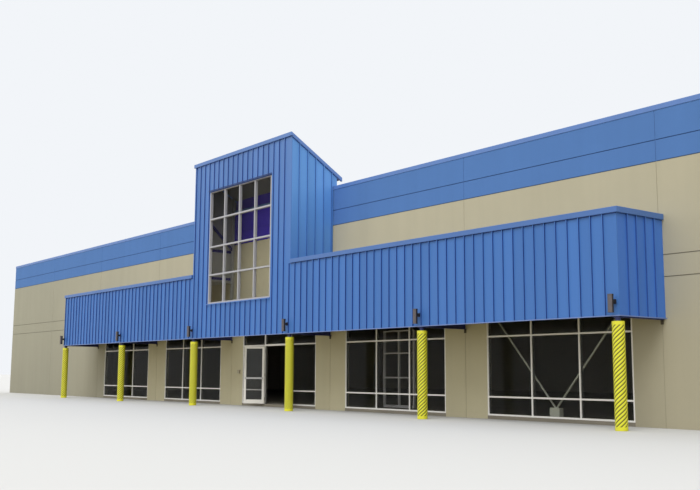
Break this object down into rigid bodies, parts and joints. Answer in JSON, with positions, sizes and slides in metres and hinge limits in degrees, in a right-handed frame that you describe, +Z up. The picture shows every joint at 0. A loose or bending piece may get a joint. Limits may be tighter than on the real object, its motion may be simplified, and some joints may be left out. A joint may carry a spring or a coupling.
{
  "type": "flooring store building, half-size scale model",
  "caption": "Half-size big-box flooring store: tilt-up concrete walls, ribbed blue canopy with an entrance tower, sleeved columns and hinged glass doors.",
  "frame": {"origin": "on the ground, under the middle of the whole building", "axes": "+Z up, X along the front, the front faces -Y"},
  "size_m": [32.9236, 19.4203, 5.261],
  "materials": {
    "painted_concrete": "flat masonry paint on tilt-up concrete, beige with a blue band at the top",
    "joint_sealant": "matt joint sealant",
    "bare_concrete": "trowelled concrete",
    "roof_membrane": "grey membrane",
    "blue_trim": "satin blue sheet metal",
    "blue_cladding": "satin blue ribbed sheet metal",
    "roof_metal": "dark grey metal roof sheet",
    "blue_steel": "dark blue painted steel",
    "yellow_sleeve": "yellow painted corrugated steel pipe",
    "storefront_aluminium": "off-white coated aluminium",
    "door_aluminium": "white coated aluminium",
    "glazing": "dark tinted glass",
    "bronze_lamp": "bronze paint",
    "grey_box": "weathered beige grey",
    "brace_steel": "grey primer"
  },
  "bodies": {
    "building": {"beam_brackets": "blue_steel", "canopy_beams": "blue_steel", "canopy_end_caps": "blue_trim", "canopy_ends": "blue_cladding", "canopy_front_caps": "blue_trim", "canopy_fronts": "blue_cladding", "canopy_lights": "bronze_lamp", "canopy_posts": "blue_steel", "canopy_roofs": "roof_membrane", "cladding_rails": "blue_steel", "cladding_uprights": "blue_steel", "column_sleeves": "yellow_sleeve", "drip_edges": "blue_trim", "entrance_box": "grey_box", "entrance_glass": "glazing", "entrance_header": "storefront_aluminium", "entrance_legs": "painted_concrete", "entrance_lintel": "painted_concrete", "entrance_screens": "storefront_aluminium", "floor_slab": "bare_concrete", "front_end_panels": "painted_concrete", "front_window_panels": "painted_concrete", "hinge_plates": "storefront_aluminium", "inner_screen": "storefront_aluminium", "left_wall": "painted_concrete", "long_copings": "blue_trim", "panel_joint_seals": "joint_sealant", "rear_wall": "painted_concrete", "right_wall": "painted_concrete", "roof_deck": "roof_membrane", "side_copings": "blue_trim", "tower_back_panel": "blue_cladding", "tower_braces": "blue_steel", "tower_front": "blue_cladding", "tower_front_cap": "blue_trim", "tower_girts": "blue_steel", "tower_rake_caps": "blue_trim", "tower_roof": "roof_metal", "tower_sides": "blue_cladding", "tower_window_flashings": "blue_trim", "tower_window_frame": "storefront_aluminium", "tower_window_glass": "glazing", "window_braces": "brace_steel", "window_frames": "storefront_aluminium", "window_glass": "glazing"},
    "door_left": {"door_left_frame": "door_aluminium", "door_left_glass": "glazing", "door_left_hardware": "door_aluminium"},
    "door_right": {"door_right_frame": "door_aluminium", "door_right_glass": "glazing", "door_right_hardware": "door_aluminium"}
  },
  "joints": [
    {"name": "door_left_hinge", "type": "hinge", "parent": "building", "child": "door_left", "pos_m": [-0.462, -8.58625, 0], "axis": [0, 0, 1], "range_deg": [0, 143]},
    {"name": "door_right_hinge", "type": "hinge", "parent": "building", "child": "door_right", "pos_m": [0.462, -8.58625, 0], "axis": [0, 0, -1], "range_deg": [0, 143]}
  ]
}
